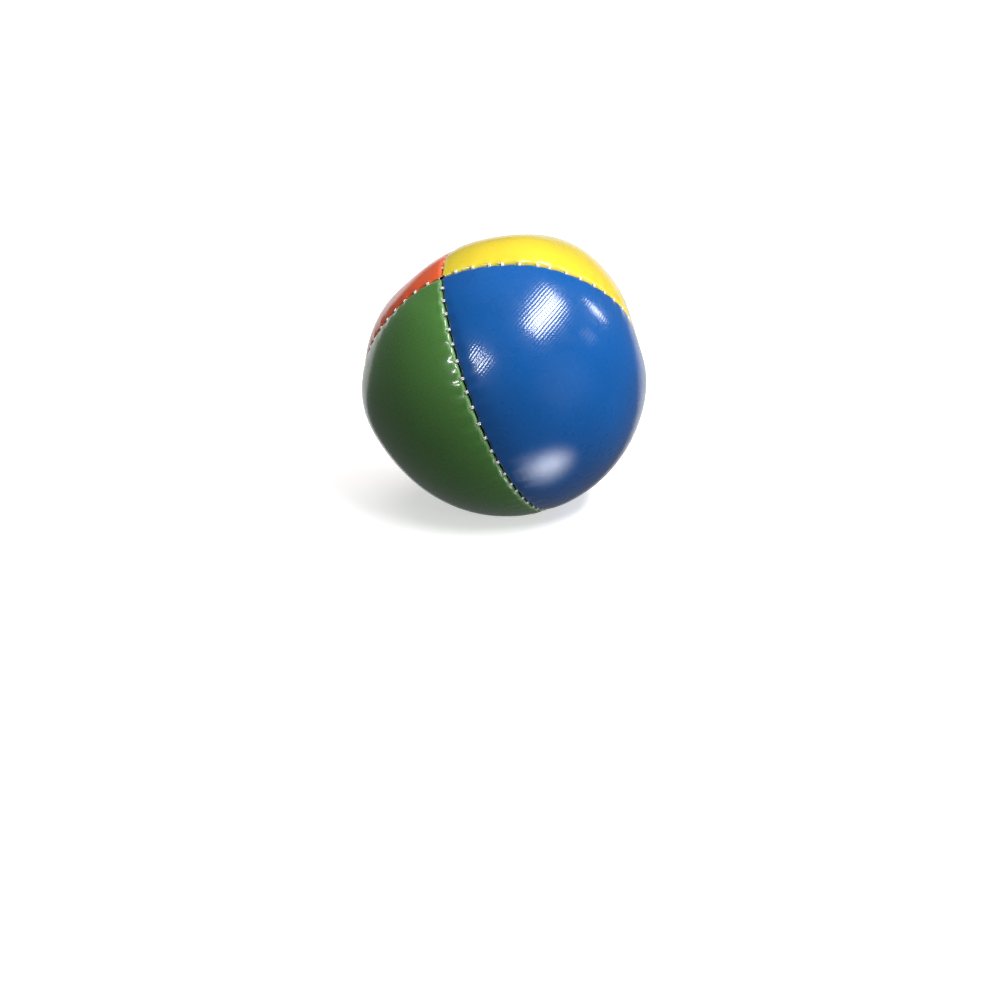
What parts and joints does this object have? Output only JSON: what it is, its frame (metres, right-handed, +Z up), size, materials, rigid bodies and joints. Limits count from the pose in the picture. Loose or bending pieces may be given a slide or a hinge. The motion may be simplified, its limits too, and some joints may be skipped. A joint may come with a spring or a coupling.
{
  "type": "juggling ball",
  "caption": "Stuffed juggling ball of pointed coated-cloth panels in blue, yellow, red and green, sewn together with pale thread.",
  "frame": {"origin": "centre of the flat foot that the ball rests on", "axes": "+Z up. The blue panel faces -Y, and the upper pole, where the four points meet, leans towards -X and -Y."},
  "size_m": [0.065, 0.065, 0.0631],
  "materials": {
    "blue_coated_cloth": "glossy PVC coating over a plain weave, blue",
    "yellow_coated_cloth": "glossy PVC coating over a plain weave, yellow",
    "red_coated_cloth": "glossy PVC coating over a plain weave, red",
    "green_coated_cloth": "glossy PVC coating over a plain weave, green",
    "sewing_thread": "twisted bonded polyester, pale cream",
    "millet": "loose small round seeds"
  },
  "bodies": {
    "root": {"panel_blue": "blue_coated_cloth", "panel_yellow": "yellow_coated_cloth", "panel_red": "red_coated_cloth", "panel_green": "green_coated_cloth", "needle_thread_blue_yellow": "sewing_thread", "bobbin_thread_blue_yellow": "sewing_thread", "needle_thread_red_green": "sewing_thread", "bobbin_thread_red_green": "sewing_thread", "needle_thread_halves": "sewing_thread", "bobbin_thread_halves": "sewing_thread", "closing_thread": "sewing_thread", "filling": "millet"}
  },
  "joints": []
}
